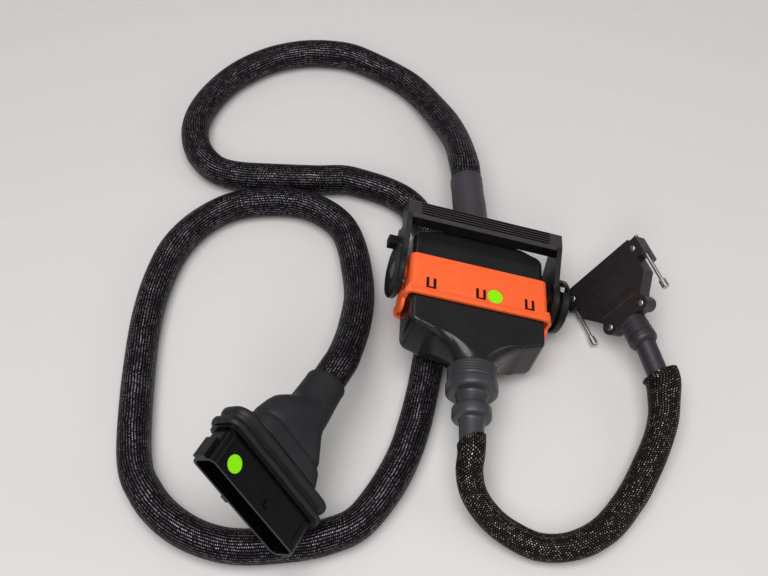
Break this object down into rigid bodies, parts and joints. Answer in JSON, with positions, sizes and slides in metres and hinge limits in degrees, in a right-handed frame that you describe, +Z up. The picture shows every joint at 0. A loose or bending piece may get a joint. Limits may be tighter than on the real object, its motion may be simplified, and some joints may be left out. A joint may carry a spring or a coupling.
{
  "type": "test adapter harness",
  "caption": "Test adapter harness: two black cable hoods joined in an orange frame by a ribbed locking lever, with braided cables to a rectangular sealed plug and a D-shaped connector.",
  "frame": {"origin": "on the table under the middle of the coupler, the cables and their end connectors left out", "axes": "+X along the coupler's width to the end with the knob, +Y along the mating axis to the long-cable hood, +Z up from the table"},
  "size_m": [0.3536, 0.4429, 0.0984],
  "materials": {
    "hood_black": "satin",
    "frame_orange": "satin",
    "housing_black": "matte",
    "contact_brass": "plated",
    "seal_rubber": "matte",
    "stud_steel": "turned",
    "dot_green": "printed paper",
    "sleeve_grey": "matte",
    "braid_black": "woven",
    "braid_coarse": "coarse woven",
    "boot_grey": "matte",
    "shroud_black": "satin",
    "contact_tin": "tinned",
    "lever_black": "semi-gloss",
    "shell_black": "satin",
    "screw_steel": "plated",
    "relief_grey": "matte"
  },
  "bodies": {
    "plug_half": {"hood_a": "hood_black", "coupling_frame": "frame_orange", "plug_body": "housing_black", "plug_contacts": "contact_brass", "interface_seal": "seal_rubber", "pivot_studs": "stud_steel", "frame_dot": "dot_green", "cable_sleeve": "sleeve_grey", "long_cable": "braid_black", "plug_boot": "boot_grey", "flange_seal": "seal_rubber", "plug_shroud": "shroud_black", "plug_insert": "housing_black", "plug_pins": "contact_tin", "plug_dot": "dot_green"},
    "locking_lever": {"locking_lever": "lever_black"},
    "socket_half": {"hood_b": "hood_black", "receptacle_body": "housing_black", "receptacle_pins": "contact_brass", "cam_followers": "stud_steel", "ribbed_boot": "boot_grey", "short_cable": "braid_coarse", "dsub_hood_top": "shell_black", "dsub_hood_bottom": "shell_black", "dsub_screws": "screw_steel", "dsub_shell": "screw_steel", "dsub_insert": "housing_black", "dsub_pins": "contact_brass", "relief_collar": "relief_grey", "relief_tube": "relief_grey"},
    "jackscrew_left": {"jackscrew_left": "screw_steel"},
    "jackscrew_right": {"jackscrew_right": "screw_steel"}
  },
  "joints": [
    {"name": "lever_hinge", "type": "hinge", "parent": "plug_half", "child": "locking_lever", "pos_m": [-0.00325, 0.011, 0.03487], "axis": [0.9563, 0, -0.2924], "range_deg": [-0.5, 90.5]},
    {"name": "halves_slide", "type": "slide", "parent": "plug_half", "child": "socket_half", "axis": [0, -1, 0], "range_m": [0, 0.007]},
    {"name": "jackscrew_left_turn", "type": "hinge", "parent": "socket_half", "child": "jackscrew_left", "pos_m": [0.06445, 0.0276, 0.00596], "axis": [0.39, -0.9189, -0.0593], "continuous": true},
    {"name": "jackscrew_right_turn", "type": "hinge", "parent": "socket_half", "child": "jackscrew_right", "pos_m": [0.10215, 0.0404, 0.05543], "axis": [0.39, -0.9189, -0.0593], "continuous": true}
  ],
  "couplings": [
    {"joint": "lever_hinge", "follows": "halves_slide", "rad_per_m": 224.4}
  ]
}
